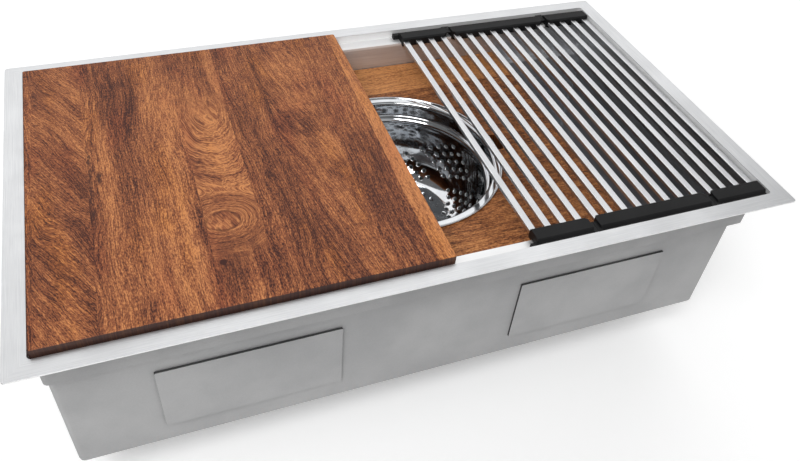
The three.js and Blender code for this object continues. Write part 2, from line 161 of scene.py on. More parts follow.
# pebbled: sprayed or moulded texture
pebbledGroup, given, result = newGroup(
    "pebbled",
    [("Vector", "vector", None), ("Scale", "value", 700.0)],
    [("Height", "value"), ("Cloud", "value")],
)
pebbles = noise(pebbledGroup, given["Vector"], given["Scale"], detail=3.0, roughness=0.65)
cloud = noise(pebbledGroup, given["Vector"], 9.0, detail=3.0, roughness=0.6)
pebbledGroup.links.new(pebbles, result["Height"])
pebbledGroup.links.new(remap(pebbledGroup, cloud, 0.3, 0.7), result["Cloud"])

# woodGrain: Across counts rings, Along runs with the fibres, both in metres
woodGroup, given, result = newGroup(
    "woodGrain",
    [
        ("Across", "value", 0.0), ("Along", "value", 0.0), ("Tone", "value", 0.5), ("Seed", "value", 0.0),
        ("Dark", "colour", (0.05, 0.02, 0.01, 1)), ("Middle", "colour", (0.2, 0.08, 0.04, 1)),
        ("Light", "colour", (0.4, 0.2, 0.1, 1)),
    ],
    [("Colour", "colour"), ("Roughness", "value"), ("Height", "value")],
)
grainSpec = {   # cells in a metre across the grain and along it, detail, roughness
    "bands": (36.0, 2.2, 2.0, 0.5), "streaks": (105.0, 5.0, 3.0, 0.6),
    "rings": (270.0, 11.0, 2.0, 0.6), "fibres": (760.0, 52.0, 2.0, 0.6),
    "flecks": (900.0, 300.0, 2.0, 0.7), "pores": (1000.0, 110.0, 1.0, 0.5),
}


def grainField(across, along, detail, roughness):
    x = calc(woodGroup, "MULTIPLY", given["Across"], across)
    y = calc(woodGroup, "MULTIPLY", given["Along"], along)
    place = addNode(woodGroup, "CombineXYZ", {"X": x, "Y": y, "Z": given["Seed"]}).outputs[0]
    return noise(woodGroup, place, 1.0, detail, roughness)


grain = {name: grainField(*spec) for name, spec in grainSpec.items()}
crispFibres = remap(woodGroup, grain["fibres"], 0.36, 0.64)
crispFlecks = remap(woodGroup, grain["flecks"], 0.36, 0.64)
shade = given["Tone"]
for field, share in (
    (grain["bands"], 0.6), (grain["streaks"], 0.75), (grain["rings"], 0.7),
    (crispFibres, 0.36), (crispFlecks, 0.44),
):
    shade = swing(woodGroup, field, share, shade)
lower = mixColour(woodGroup, remap(woodGroup, shade, 0.0, 0.5), given["Dark"], given["Middle"])
grainColour = mixColour(woodGroup, remap(woodGroup, shade, 0.4, 1.0), lower, given["Light"])
poreMask = remap(woodGroup, grain["pores"], 0.56, 0.68)
darkLine = calc(woodGroup, "MULTIPLY", remap(woodGroup, grain["rings"], 0.38, 0.26), 0.35)
dark = calc(woodGroup, "MAXIMUM", calc(woodGroup, "MULTIPLY", poreMask, 0.5), darkLine)
woodGroup.links.new(mixColour(woodGroup, dark, grainColour, given["Dark"]), result["Colour"])
woodGroup.links.new(calc(woodGroup, "MULTIPLY_ADD", grain["fibres"], 0.22, 0.42), result["Roughness"])
woodGroup.links.new(calc(woodGroup, "SUBTRACT", grain["fibres"], poreMask), result["Height"])
print("shader groups built")


# materials

def newMaterial(name, **principled):
    material = bpy.data.materials.new(name)
    material.use_nodes = True
    tree = material.node_tree
    shader = tree.nodes["Principled BSDF"]
    for socketName, value in principled.items():
        shader.inputs[socketName.replace("_", " ")].default_value = value
    place = addNode(tree, "TexCoord").outputs
    return material, tree, shader, place


def setSurface(tree, shader, colour, roughness, height, bump):
    inputs = {"Height": height, "Strength": bump[0], "Distance": bump[1]}
    normal = addNode(tree, "Bump", inputs).outputs[0]
    for name, value in (("Base Color", colour), ("Roughness", roughness), ("Normal", normal)):
        tree.links.new(value, shader.inputs[name])


def toneMix(tree, factor, low, high):
    return mixColour(tree, factor, toLinear(*low), toLinear(*high))


def smudges(tree, place, scale, rough):
    inputs = {"Vector": place["Object"], "Scale": scale, "Low": rough[0], "High": rough[1]}
    return useGroup(tree, smudgeGroup, inputs)


def makeSatinSteel():
    look = {
        # tones: a painted highlight for the bends, painted light for the ledge band, painted shade for
        # the depths
        "light": (232, 233, 234), "dull": (215, 216, 218), "edge": (252, 252, 252),
        "shelf": (244, 244, 244), "deep": (182, 186, 191),
        "rough": (0.34, 0.44), "line": 0.08, "tarnish": (0.02, 0.17), "bump": (0.25, 0.00004),
        "mitre": 176.8, "shelfDepth": (-16, -13), "deepFrom": (-13, -120), "density": 900.0,
    }
    material, tree, shader, place = newMaterial("satinSteel", Metallic=1.0)
    axes = axesOf(tree, place["Object"])
    # brushed along each side, with a mitre at the rim's corners
    sideways = calc(tree, "SUBTRACT", calc(tree, "ABSOLUTE", axes[0]), look["mitre"] * mm)
    onEnds = calc(tree, "GREATER_THAN", sideways, calc(tree, "ABSOLUTE", axes[1]))
    brush = {}
    for name, scale in (("alongX", (0.02, 1, 1)), ("alongY", (1, 0.02, 1))):
        inputs = {"Vector": stretched(tree, place["Object"], scale), "Density": look["density"]}
        brush[name] = useGroup(tree, brushedGroup, inputs)["Lines"]
    lines = calc(tree, "ADD", calc(tree, "MULTIPLY", onEnds, brush["alongY"]),
                 calc(tree, "MULTIPLY", calc(tree, "SUBTRACT", 1.0, onEnds), brush["alongX"]))
    smudge = smudges(tree, place, 16.0, look["rough"])
    # painted highlight: the bends and edges are near-white and barely metallic; painted light: the band
    # from the rim down to the ledge is lighter; painted shade: the inside darkens towards the bottom
    upright = calc(tree, "ABSOLUTE", axesOf(tree, place["Normal"])[2])
    inside = remap(tree, axes[2], -0.2 * mm, -1.0 * mm)
    shelfLow, shelfHigh = look["shelfDepth"]
    # painted light: the band from the rim down to the ledge is lighter
    shelf = calc(tree, "MULTIPLY", inside, remap(tree, axes[2], shelfLow * mm, shelfHigh * mm))
    slanting = calc(tree, "MULTIPLY", shelf, 0.6)
    slanting = calc(tree, "MAXIMUM", remap(tree, upright, 0.1, 0.3), slanting)
    bends = calc(tree, "MULTIPLY", slanting, remap(tree, upright, 0.995, 0.93))
    # painted shade: darker towards the bottom of the bowl
    deep = remap(tree, axes[2], look["deepFrom"][0] * mm, look["deepFrom"][1] * mm)
    base = toneMix(tree, lines, look["dull"], look["light"])
    for mask, tone in ((shelf, "shelf"), (deep, "deep"), (bends, "edge")):
        base = mixColour(tree, calc(tree, "MULTIPLY", mask, 0.9), base, toLinear(*look[tone]))
    # painted highlight: the bends lose their metal and take the near-white edge tone
    tree.links.new(calc(tree, "MULTIPLY_ADD", bends, -0.8, 1.0), shader.inputs["Metallic"])
    tarnish = calc(tree, "MULTIPLY", inside, remap(tree, axes[1], -0.25, 0.1, *look["tarnish"]))
    brushed = calc(tree, "MULTIPLY_ADD", lines, look["line"], smudge["Roughness"])
    setSurface(tree, shader, base, calc(tree, "ADD", tarnish, brushed), lines, look["bump"])
    return material


def makeRodSteel():
    look = {
        "light": (216, 217, 219), "dull": (196, 197, 200), "edge": (246, 246, 246),
        "rough": (0.24, 0.34), "bump": (0.2, 0.00003),
    }
    material, tree, shader, place = newMaterial("rodSteel", Metallic=1.0)
    lengthwise = stretched(tree, place["Object"], (1, 0.015, 1))
    lines = useGroup(tree, brushedGroup, {"Vector": lengthwise, "Density": 1500.0})["Lines"]
    smudge = smudges(tree, place, 22.0, look["rough"])
    upright = calc(tree, "ABSOLUTE", axesOf(tree, place["Normal"])[2])
    # painted highlight: the rods' rounded edges are near-white and less metallic
    edges = calc(tree, "MULTIPLY", remap(tree, upright, 0.3, 0.6), remap(tree, upright, 0.98, 0.9))
    base = toneMix(tree, lines, look["dull"], look["light"])
    base = mixColour(tree, edges, base, toLinear(*look["edge"]))
    tree.links.new(calc(tree, "MULTIPLY_ADD", edges, -0.7, 1.0), shader.inputs["Metallic"])
    roughness = calc(tree, "MULTIPLY_ADD", lines, 0.08, smudge["Roughness"])
    setSurface(tree, shader, base, roughness, lines, look["bump"])
    return material


def makePolishedSteel():
    look = {
        "light": (216, 218, 220), "dull": (198, 201, 205), "rough": (0.03, 0.07), "bump": (0.03, 0.0003),
    }
    material, tree, shader, place = newMaterial("polishedSteel", Metallic=1.0)
    smudge = smudges(tree, place, 26.0, look["rough"])
    wipes = noise(tree, stretched(tree, place["Object"], (1, 0.2, 1), (0, 0, 0.6)), 260.0, 4.0, 0.7)
    tone = toneMix(tree, smudge["Patch"], look["dull"], look["light"])
    roughness = calc(tree, "MULTIPLY_ADD", wipes, 0.04, smudge["Roughness"])
    waves = noise(tree, place["Object"], 36.0, 1.0, 0.4)
    setSurface(tree, shader, tone, roughness, waves, look["bump"])
    return material


def makePunchedEdge():
    # painted highlight: each hole's wall is a near-white matt steel, partly the punch's matt cut and
    # partly painted so the holes read bright
    look = {"light": (250, 250, 250), "dull": (226, 227, 229), "bump": (0.1, 0.0001)}
    material, tree, shader, place = newMaterial("punchedEdge", Metallic=0.2)
    grit = useGroup(tree, pebbledGroup, {"Vector": place["Object"], "Scale": 1400.0})
    tone = toneMix(tree, grit["Height"], look["dull"], look["light"])
    roughness = calc(tree, "MULTIPLY_ADD", grit["Cloud"], 0.1, 0.4)
    setSurface(tree, shader, tone, roughness, grit["Height"], look["bump"])
    return material


def makeUndercoat(name, light, dark):
    material, tree, shader, place = newMaterial(name, Specular_IOR_Level=0.15)
    coat = useGroup(tree, pebbledGroup, {"Vector": place["Object"], "Scale": 620.0})
    grit = calc(tree, "MULTIPLY_ADD", coat["Height"], 0.5, calc(tree, "MULTIPLY", coat["Cloud"], 0.5))
    tone = toneMix(tree, grit, dark, light)
    roughness = calc(tree, "MULTIPLY_ADD", coat["Height"], 0.2, 0.68)
    setSurface(tree, shader, tone, roughness, coat["Height"], (0.5, 0.0005))
    return material


def makeSilicone():
    look = {"light": (26, 26, 27), "dark": (17, 17, 18), "bump": (0.25, 0.0002)}
    material, tree, shader, place = newMaterial("capSilicone", Specular_IOR_Level=0.22)
    pebbles = useGroup(tree, pebbledGroup, {"Vector": place["Object"], "Scale": 1100.0})
    tone = toneMix(tree, pebbles["Cloud"], look["dark"], look["light"])
    roughness = calc(tree, "MULTIPLY_ADD", pebbles["Height"], 0.2, 0.42)
    setSurface(tree, shader, tone, roughness, pebbles["Height"], look["bump"])
    return material


def makeDrainRubber():
    look = {"light": (44, 43, 42), "dark": (27, 27, 27), "rough": (0.5, 0.72), "bump": (0.3, 0.0003)}
    material, tree, shader, place = newMaterial("drainRubber", Specular_IOR_Level=0.3)
    pebbles = useGroup(tree, pebbledGroup, {"Vector": place["Object"], "Scale": 800.0})
    smudge = smudges(tree, place, 60.0, look["rough"])
    tone = toneMix(tree, pebbles["Cloud"], look["dark"], look["light"])
    setSurface(tree, shader, tone, smudge["Roughness"], pebbles["Height"], look["bump"])
    return material


def makeFibre():
    look = {"light": (206, 200, 188), "dark": (158, 150, 136), "bump": (0.5, 0.0003)}
    material, tree, shader, place = newMaterial("fibreWasher", Specular_IOR_Level=0.2)
    pressed = stretched(tree, place["Object"], (1, 0.35, 1))
    fibres = useGroup(tree, pebbledGroup, {"Vector": pressed, "Scale": 900.0})
    tone = toneMix(tree, fibres["Height"], look["dark"], look["light"])
    roughness = calc(tree, "MULTIPLY_ADD", fibres["Cloud"], 0.1, 0.82)
    setSurface(tree, shader, tone, roughness, fibres["Height"], look["bump"])
    return material


# wood: each stave's values stand in the colour of a stepped ramp

def staveValues(tree, coordinate, spec):
    first, last = spec["span"]
    ramp = addNode(tree, "ValToRGB", {0: remap(tree, coordinate, first * mm, last * mm, kind="LINEAR")})
    ramp.color_ramp.interpolation = "CONSTANT"
    steps = ramp.color_ramp.elements
    while len(steps) < len(spec["staves"]):
        steps.new(0.5)
    for step, (edge, *values) in zip(steps, spec["staves"]):
        step.position = max((edge - first) / (last - first), 0)
        step.color = (*values, *[0] * (3 - len(values)), 1)
    return addNode(tree, "SeparateColor", {0: ramp.outputs[0]}).outputs


def spotMask(tree, axes, x, y, wide, high, soft=0.5):
    # a soft oval, with its centre and half sizes in mm, and the distance in half sizes
    across = calc(tree, "DIVIDE", calc(tree, "SUBTRACT", axes[0], x * mm), wide * mm)
    along = calc(tree, "DIVIDE", calc(tree, "SUBTRACT", axes[1], y * mm), high * mm)
    square = calc(tree, "MULTIPLY_ADD", across, across, calc(tree, "MULTIPLY", along, along))
    distance = calc(tree, "SQRT", square)
    return remap(tree, distance, 1.0 + soft, 1.0 - soft), distance


boardLook = {
    "span": (-400, 4),
    # staves from left to right: left edge in mm, tone, slant of the grain, share of curved figure
    "staves": [
        (-400, 0.36, 0.10, 0.0), (-390, 0.39, 0.52, 0.0), (-336, 0.42, 0.02, 0.0),
        (-228, 0.52, 0.00, 1.0), (-174, 0.36, 0.03, 0.0), (-123, 0.44, 0.22, 0.0),
        (-67, 0.40, 0.01, 0.0), (-16, 0.80, 0.03, 0.0),
    ],
    # broad light and dark areas: centre and half sizes in mm, change of tone, softness
    "areas": [
        (-242, 40, 12, 150, 0.30, 0.8), (-262, -150, 22, 90, 0.22, 0.8), (-296, 110, 20, 110, -0.14, 0.8),
        (-97, 34, 24, 26, -0.26, 0.5), (-90, 150, 20, 26, 0.20, 0.8), (-70, -20, 14, 26, 0.26, 0.6),
        (-318, -90, 9, 120, 0.20, 0.8), (-198, -15, 26, 60, 0.18, 0.8), (-196, -170, 28, 40, -0.24, 0.6),
        (-205, 195, 26, 60, -0.16, 0.6), (-350, 120, 26, 70, 0.10, 0.8), (-30, -130, 10, 90, -0.12, 0.8),
    ],
    # spots: centre and half sizes in mm, softness
    "oval": (-198, 84, 30, 62), "swirl": (-372, -95, 30, 46, 0.9),
    "knot": (-211, -107, 17, 14, 0.35), "smallKnot": (-221, -163, 3.2, 3.6, 0.3),
    "crack": (-332, -14, 12, 62, 0.3), "eye": (-323, -8, 3.4, 9, 0.6),
    "crackAt": -332.5,
    "Dark": (64, 33, 26), "Middle": (138, 80, 51), "Light": (202, 134, 82),
    "knotRim": (84, 44, 28), "split": (58, 33, 30), "endGrain": (64, 49, 47), "farEdge": (52, 30, 24),
    "reddish": (0.86, 0.70, 0.76), "golden": (1.12, 1.08, 0.76), "bump": (0.3, 0.0003),
}


def woodColours(look):
    return {name: toLinear(*look[name]) for name in ("Dark", "Middle", "Light")}


def boardFigure(tree, place, axes, stave, tone, tremor, ripple):
    # straight grain with a slow bend and a swirl low on the left
    look = boardLook
    bend = cellNoise(tree, place, 9, 4.5, roughness=0.55)
    slide = calc(tree, "MULTIPLY_ADD", axes[1], stave[1], axes[0])
    swirl = spotMask(tree, axes, *look["swirl"])[0]
    across = swing(tree, bend, calc(tree, "MULTIPLY_ADD", swirl, 0.05, 0.032), slide)
    across = swing(tree, ripple, 0.0045, across)
    colours = woodColours(look)
    straight = useGroup(tree, woodGroup, {"Across": across, "Along": axes[1], "Tone": tone, **colours})
    # rings of the curved stave close round an oval above and a knot below
    oval = calc(tree, "MAXIMUM", spotMask(tree, axes, *look["oval"])[1], 0.45)
    knotRound = spotMask(tree, axes, *look["knot"])[1]
    aroundKnot = calc(tree, "MULTIPLY_ADD", calc(tree, "MAXIMUM", knotRound, 1.0), 0.022, 0.010)
    rings = calc(tree, "SMOOTH_MIN", calc(tree, "MULTIPLY", oval, 0.034), aroundKnot, 0.02)
    arcs = swing(tree, ripple, 0.009, rings)
    alongArcs = calc(tree, "MULTIPLY_ADD", axes[1], 0.5, axes[0])
    figured = useGroup(tree, woodGroup, {"Across": arcs, "Along": alongArcs, "Tone": tone, **colours})
    # they stay between the ragged dark ends of their stave
    ragged = swing(tree, bend, 0.16, axes[1])
    curved = calc(tree, "MULTIPLY", stave[2], remap(tree, ragged, 0.145, 0.085))
    curved = calc(tree, "MULTIPLY", curved, remap(tree, ragged, -0.185, -0.12))
    colour = mixColour(tree, curved, straight["Colour"], figured["Colour"])
    # reddish and golden areas over the grain
    warm = cellNoise(tree, place, 16, 5, scale=1.3)
    colour = dyed(tree, remap(tree, warm, 0.5, 0.72, 0.0, 0.7), colour, look["reddish"])
    colour = dyed(tree, remap(tree, warm, 0.48, 0.28, 0.0, 0.7), colour, look["golden"])
    # a dark broken ring round the knot
    knot = swing(tree, tremor, 0.55, knotRound)
    knotEdge = calc(tree, "ABSOLUTE", calc(tree, "SUBTRACT", knot, 1.02))
    rim = calc(tree, "MULTIPLY", remap(tree, knotEdge, 0.16, 0.04), 0.6)
    rim = calc(tree, "MULTIPLY", rim, remap(tree, ripple, 0.35, 0.6))
    return mixColour(tree, rim, colour, toLinear(*look["knotRim"])), straight


def boardCrack(tree, place, axes, tremor):
    # a thin wobbling line, broken along its length, and a dark eye beside it
    look = boardLook
    fineFlecks = cellNoise(tree, place, 900, 120, detail=1.0)
    fromLine = calc(tree, "SUBTRACT", axes[0], look["crackAt"] * mm)
    line = calc(tree, "ABSOLUTE", swing(tree, tremor, 0.012, fromLine))
    onLine = remap(tree, line, 2.2 * mm, 0.6 * mm)
    crack = calc(tree, "MULTIPLY", onLine, spotMask(tree, axes, *look["crack"])[0])
    crack = calc(tree, "MULTIPLY", crack, remap(tree, fineFlecks, 0.36, 0.56))
    eye = calc(tree, "MULTIPLY", spotMask(tree, axes, *look["eye"])[0], remap(tree, tremor, 0.36, 0.52))
    return calc(tree, "MULTIPLY", calc(tree, "MAXIMUM", crack, eye), 0.82)


def makeBoardWood():
    look = boardLook
    material, tree, shader, place = newMaterial("boardWood", Specular_IOR_Level=0.2)
    axes = axesOf(tree, place["Object"])
    wobble = cellNoise(tree, place, 6, 3, detail=1.0)
    leaning = calc(tree, "MULTIPLY_ADD", axes[1], -0.014, axes[0])
    stave = staveValues(tree, swing(tree, wobble, 0.006, leaning), look)
    zones = cellNoise(tree, place, 24, 5.5, detail=3.0, roughness=0.55)
    tone = swing(tree, zones, 0.75, stave[0])
    for x, y, wide, high, push, soft in look["areas"]:
        tone = calc(tree, "MULTIPLY_ADD", spotMask(tree, axes, x, y, wide, high, soft)[0], push, tone)
    for spot, push in (("knot", 0.14), ("smallKnot", -0.6)):
        tone = calc(tree, "MULTIPLY_ADD", spotMask(tree, axes, *look[spot])[0], push, tone)
    tremor = cellNoise(tree, place, 90, 80, roughness=0.6)
    ripple = cellNoise(tree, place, 55, 20, roughness=0.6)
    colour, straight = boardFigure(tree, place, axes, stave, tone, tremor, ripple)
    colour = mixColour(tree, boardCrack(tree, place, axes, tremor), colour, toLinear(*look["split"]))
    facing = axesOf(tree, place["Normal"])
    endGrain = remap(tree, calc(tree, "ABSOLUTE", facing[1]), 0.5, 0.8)
    # painted shade: the rear and left side faces darken like a contact shadow round the board
    farEdge = calc(tree, "MAXIMUM", remap(tree, facing[1], 0.1, 0.5), remap(tree, facing[0], -0.1, -0.5))
    for mask, share, name in ((endGrain, 0.9, "endGrain"), (farEdge, 0.7, "farEdge")):
        colour = mixColour(tree, calc(tree, "MULTIPLY", mask, share), colour, toLinear(*look[name]))
    setSurface(tree, shader, colour, straight["Roughness"], straight["Height"], look["bump"])
    return material


platformLook = {
    "span": (-204, 204),
    # staves run side to side: front edge in mm, tone
    "staves": [
        (-204, 0.50), (-148, 0.42), (-80, 0.40), (-20, 0.44), (48, 0.46), (112, 0.36), (138, 0.88),
    ],
    "Dark": (76, 42, 24), "Middle": (146, 90, 52), "Light": (198, 136, 82),
    "cut": (0.5, 0.42, 0.36), "seed": 7.3, "bump": (0.35, 0.0004),
}


def makePlatformWood():
    look = platformLook
    material, tree, shader, place = newMaterial("platformWood", Specular_IOR_Level=0.2)
    axes = axesOf(tree, place["Object"])
    wobble = cellNoise(tree, place, 4, 8, detail=1.0)
    stave = staveValues(tree, swing(tree, wobble, 0.004, axes[1]), look)
    bend = cellNoise(tree, place, 4, 10, roughness=0.55)
    ripple = cellNoise(tree, place, 26, 60, roughness=0.6)
    across = swing(tree, ripple, 0.004, swing(tree, bend, 0.03, axes[1]))
    zones = cellNoise(tree, place, 6, 20, detail=3.0, roughness=0.55)
    tone = swing(tree, zones, 0.6, stave[0])
    wood = useGroup(tree, woodGroup, {
        "Across": across, "Along": axes[0], "Tone": tone, "Seed": look["seed"], **woodColours(look)})
    upright = calc(tree, "ABSOLUTE", axesOf(tree, place["Normal"])[2])
    # the side faces are dyed darker than the top
    colour = dyed(tree, remap(tree, upright, 0.6, 0.3), wood["Colour"], look["cut"])
    setSurface(tree, shader, colour, wood["Roughness"], wood["Height"], look["bump"])
    return material


satinSteel = makeSatinSteel()
rodSteel = makeRodSteel()
polishedSteel = makePolishedSteel()
punchedEdge = makePunchedEdge()
undercoat = makeUndercoat("undercoat", (188, 188, 188), (162, 162, 163))
# painted shade: a dark coat for the pads' edge faces
padEdge = makeUndercoat("padEdge", (84, 84, 84), (62, 62, 63))
capSilicone = makeSilicone()
drainRubber = makeDrainRubber()
fibreWasher = makeFibre()
boardWood = makeBoardWood()
platformWood = makePlatformWood()
print("materials built:", len(bpy.data.materials))


# pieces

def placePiece(name, bm, materials, body, nodes):
    mesh = bpy.data.meshes.new(name)
    bm.to_mesh(mesh)
    bm.free()
    for material in materials:
        mesh.materials.append(material)
    piece = bpy.data.objects.new(name, mesh)
    bpy.context.scene.collection.objects.link(piece)
    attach(piece, body)
    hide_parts(*nodes)
    return piece


def weighNormals(piece):
    modifier = piece.modifiers.new("weighNormals", "WEIGHTED_NORMAL")
    modifier.keep_sharp = True
    modifier.weight = 60


def shadeByAngle(bm, degrees):
    for face in bm.faces:
        face.smooth = True
    for edge in bm.edges:
        edge.smooth = len(edge.link_faces) < 2 or edge.calc_face_angle(0) < math.radians(degrees)


def mergedCopy(nodeName):
    bm = bmesh.new()
    bm.from_mesh(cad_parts[nodeName].data)
    bmesh.ops.remove_doubles(bm, verts=bm.verts[:], dist=0.004 * mm)
    bmesh.ops.dissolve_limit(bm, angle_limit=math.radians(0.6), verts=bm.verts[:], edges=bm.edges[:],
                             use_dissolve_boundaries=False)
    return bm


def sharpEdges(bm, degrees):
    return [edge for edge in bm.edges if len(edge.link_faces) == 2
            and edge.calc_face_angle(0) > math.radians(degrees)]


def easeEdges(bm, edges, width, segments):
    bmesh.ops.bevel(bm, geom=edges, offset=width * mm, offset_type="OFFSET", segments=segments,
                    profile=0.5, affect="EDGES", material=-1, clamp_overlap=True)


def easedPiece(nodeName, pieceName, body, material, slotName, ease, segments=2):
    bm = mergedCopy(nodeName)
    easeEdges(bm, sharpEdges(bm, 30), ease, segments)
    shadeByAngle(bm, 50)
    piece = placePiece(pieceName, bm, [material], body, [nodeName])
    weighNormals(piece)
    return piece


# sink bowl: a copy of its solid with rounded bends, steel inside and sprayed coat outside
bowlSpec = {
    "bend": 1.3, "bendsInside": (402, 224), "bendsAbove": -75,      # lower bends stay as they are
    "rimEdge": 0.7, "rimOutside": (418.0, 240.2),
    "steelOutside": (418.8, 241.0), "steelAbove": -1.3,             # the rim's edge is bare steel
}


def facesInside(centre, normal):
    if abs(normal.z) > 0.3:
        return normal.z > 0
    return normal.x * centre.x + normal.y * centre.y < 0


def beyond(place, limits):
    return abs(place.x) > limits[0] * mm or abs(place.y) > limits[1] * mm


def makeBowl():
    b = bowlSpec
    bm = mergedCopy("sink_bowl")
    rim = [edge for edge in sharpEdges(bm, 40) if all(
        beyond(v.co, b["rimOutside"]) for v in edge.verts)]
    easeEdges(bm, rim, b["rimEdge"], 3)
    bends = [edge for edge in sharpEdges(bm, 60) if all(
        abs(v.co.x) < b["bendsInside"][0] * mm and abs(v.co.y) < b["bendsInside"][1] * mm
        and v.co.z > b["bendsAbove"] * mm for v in edge.verts)]
    easeEdges(bm, bends, b["bend"], 3)
    for face in bm.faces:
        centre = face.calc_center_median()
        atEdge = centre.z > b["steelAbove"] * mm and beyond(centre, b["steelOutside"])
        face.material_index = 0 if atEdge or facesInside(centre, face.normal) else 1
    shadeByAngle(bm, 42)
    coats = [satinSteel, undercoat]
    weighNormals(placePiece("sinkBowl", bm, coats, "sink", ["sink_bowl"]))


makeBowl()
print("sink bowl placed")

padSpec = {"ease": 0.3, "edgeTilt": 0.6}


def makePads():
    for padName in [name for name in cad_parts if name.startswith("sound_pad_")]:
        pieceName = "pad" + "".join(part.capitalize() for part in padName.split("_")[2:])
        pad = easedPiece(padName, pieceName, "sink", undercoat, "undercoat", padSpec["ease"])
        pad.data.materials.append(padEdge)      # painted shade: the edge faces are dark, standing in for the shadow line along the pad
        spans = []
        for axis in range(3):
            places = [vertex.co[axis] for vertex in pad.data.vertices]
            spans.append(max(places) - min(places))
        thin = spans.index(min(spans))
        for polygon in pad.data.polygons:
            if abs(polygon.normal[thin]) < padSpec["edgeTilt"]:
                polygon.material_index = 1


makePads()

nutSpec = {"ease": 0.9, "segments": 2}
easedPiece("drain_lock_nut", "lockNut", "sink", polishedSteel, "polished_steel", **nutSpec)

boardSpec = {"ease": 1.4, "segments": 3}
easedPiece("cutting_board", "cuttingBoard", "board", boardWood, "board_wood", **boardSpec)

platformSpec = {"ease": 1.0, "segments": 3}
easedPiece("colander_platform", "colanderPlatform", "platform", platformWood, "platform_wood",
           **platformSpec)

rackSpec = {
    "capEase": 0.6,
    # each panel's body, first rod and last rod
    "left": ("rack_left", 1, 4), "middle": ("rack_middle", 5, 12), "right": ("rack_right", 13, 16),
}


def makeRack():
    panels = {name: rackSpec[name] for name in ("left", "middle", "right")}
    for body, firstRod, lastRod in panels.values():
        for number in range(firstRod, lastRod + 1):
            rodName = f"rack_rod_{number:02d}"
            bm = mergedCopy(rodName)
            shadeByAngle(bm, 50)
            weighNormals(placePiece(f"rod{number:02d}", bm, [rodSteel], body, [rodName]))
    for panel, (body, firstRod, lastRod) in panels.items():
        for side in ("front", "rear"):
            nodeName, capName = f"rack_cap_{side}_{panel}", f"cap{side.capitalize()}{panel.capitalize()}"
            easedPiece(nodeName, capName, body, capSilicone, "cap_silicone", rackSpec["capEase"])


makeRack()
print("board, platform and rack placed")


# turned pieces: a profile of (radius, height) in mm, spun about an upright line
drainCentre = (0, 95, 0)


def spunMesh(profile, centre, steps, closed=False, start=0.0):      # start in degrees
    bm = bmesh.new()
    chain = [bm.verts.new((radius * mm, 0, height * mm)) for radius, height in profile]
    for first, second in zip(chain, chain[1:]):
        bm.edges.new((first, second))
    if closed:
        bm.edges.new((chain[-1], chain[0]))
    turn = Matrix.Rotation(math.radians(start), 3, "Z")
    bmesh.ops.rotate(bm, verts=bm.verts[:], cent=(0, 0, 0), matrix=turn)
    bmesh.ops.spin(bm, geom=bm.verts[:] + bm.edges[:], cent=(0, 0, 0), axis=(0, 0, 1), dvec=(0, 0, 0),
                   angle=2 * math.pi, steps=steps, use_merge=True)
    bmesh.ops.remove_doubles(bm, verts=bm.verts[:], dist=0.01 * mm)
    bmesh.ops.translate(bm, verts=bm.verts[:], vec=Vector(centre) * mm)
    bmesh.ops.recalc_face_normals(bm, faces=bm.faces[:])
    return bm


def turnedPiece(nodeName, pieceName, body, profile, material, closed=True, steps=96):
    bm = spunMesh(profile, drainCentre, steps, closed)
    shadeByAngle(bm, 35)
    piece = placePiece(pieceName, bm, [material], body, [nodeName])
    weighNormals(piece)
    return piece


drainSpec = {
    "floorTop": -234.6, "flange": 56, "cupOuter": 44.6, "cupInner": 42.4, "cupUnder": -280.6,
    "outletEnd": -304.6, "outletOuter": 24, "outletInner": 19, "lip": 2.3,
    "sheet": 1.5, "gasket": 3, "washer": 1, "gap": 0.3, "ringInner": 45.3, "ringEase": 0.6,
}


def makeDrain():
    d = drainSpec
    low, top, under = d["floorTop"] + d["gap"], d["floorTop"] + d["lip"], d["cupUnder"]
    outer, inner, flange = d["cupOuter"], d["cupInner"], d["flange"]
    outletOuter, outletInner = d["outletOuter"], d["outletInner"]
    body = [
        (outletInner, d["outletEnd"]), (outletOuter, d["outletEnd"]), (outletOuter, under - 2),
        (outletOuter + 0.6, under - 0.6), (outletOuter + 2, under), (outer - 8, under + 1.1),
        (outer - 4, under + 2.8), (outer - 1.2, under + 5.4), (outer, under + 9), (outer, low),
        (flange - 0.4, low), (flange, low + 0.4), (flange, top - 1), (flange - 0.4, top - 0.3),
        (flange - 1.3, top), (outer + 1.5, top - 0.3), (outer - 0.4, top - 0.8), (inner + 0.6, top - 2.2),
        (inner, top - 4), (inner, top - 6), (inner - 1.8, top - 6), (inner - 1.8, under + 10.2),
        (inner - 3.6, under + 6.8), (inner - 6, under + 4.6), (inner - 10, under + 3.2),
        (outletInner + 1, under + 2.4), (outletInner, under + 1.4),
    ]
    turnedPiece("drain_body", "drainBody", "sink", body, polishedSteel)
    gasketTop = d["floorTop"] - d["sheet"] - d["gap"]
    washerTop = gasketTop - d["gasket"] - d["gap"]
    for node, name, high, thick, material, slotName in (
        ("drain_gasket", "drainGasket", gasketTop, d["gasket"], drainRubber, "drain_rubber"),
        ("drain_washer", "drainWasher", washerTop, d["washer"], fibreWasher, "fibre"),
    ):
        ease = min(d["ringEase"], thick / 3)
        low = high - thick
        ring = [
            (d["ringInner"], low), (flange - ease, low), (flange - ease * 0.3, low + ease * 0.3),
            (flange, low + ease), (flange, high - ease), (flange - ease * 0.3, high - ease * 0.3),
            (flange - ease, high), (d["ringInner"], high),
        ]
        turnedPiece(node, name, "sink", ring, material)


makeDrain()


